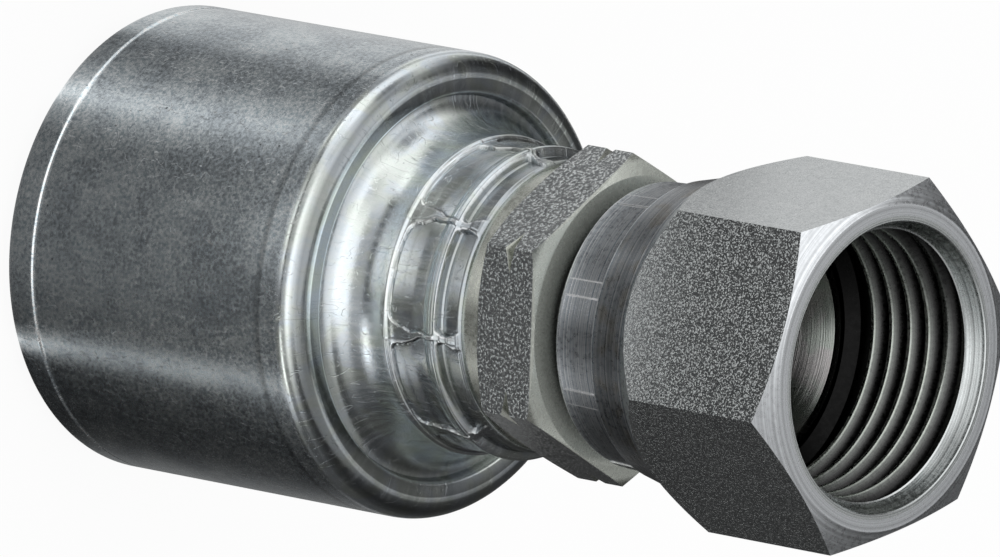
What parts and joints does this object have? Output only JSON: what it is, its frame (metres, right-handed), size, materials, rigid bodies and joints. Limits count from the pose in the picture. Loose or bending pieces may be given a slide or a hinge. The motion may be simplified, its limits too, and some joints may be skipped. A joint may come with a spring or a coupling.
{
  "type": "crimp hose fitting",
  "caption": "Crimp-on hose end: drawn steel shell staked to a barbed stem with a wrench hex, split grip sleeve inside, and a free-turning threaded swivel nut with a conical seat.",
  "frame": {"origin": "centre of the open hose end of the shell, on the surface that the fitting stands on", "axes": "+Z along the fitting's axis, from the hose end to the mouth of the nut; +X through one flat of the stem's hex and the slot of the grip sleeve"},
  "size_m": [0.036, 0.036, 0.0746],
  "materials": {
    "shell_steel": "drawn steel, clear zinc plate, fine mottled grain and light scratches",
    "sleeve_steel": "turned steel, clear zinc plate",
    "stem_steel": "turned steel with rough sparkling hex flats, clear zinc plate",
    "nut_steel": "turned steel with rough sparkling hex flats, clear zinc plate"
  },
  "bodies": {
    "fitting": {"shell": "shell_steel", "grip_sleeve": "sleeve_steel", "stem": "stem_steel"},
    "nut": {"swivel_nut": "nut_steel"}
  },
  "joints": [
    {"name": "nut_swivel", "type": "hinge", "parent": "fitting", "child": "nut", "pos_m": [0, 0, 0.056], "axis": [0, 0, 1], "continuous": true}
  ]
}
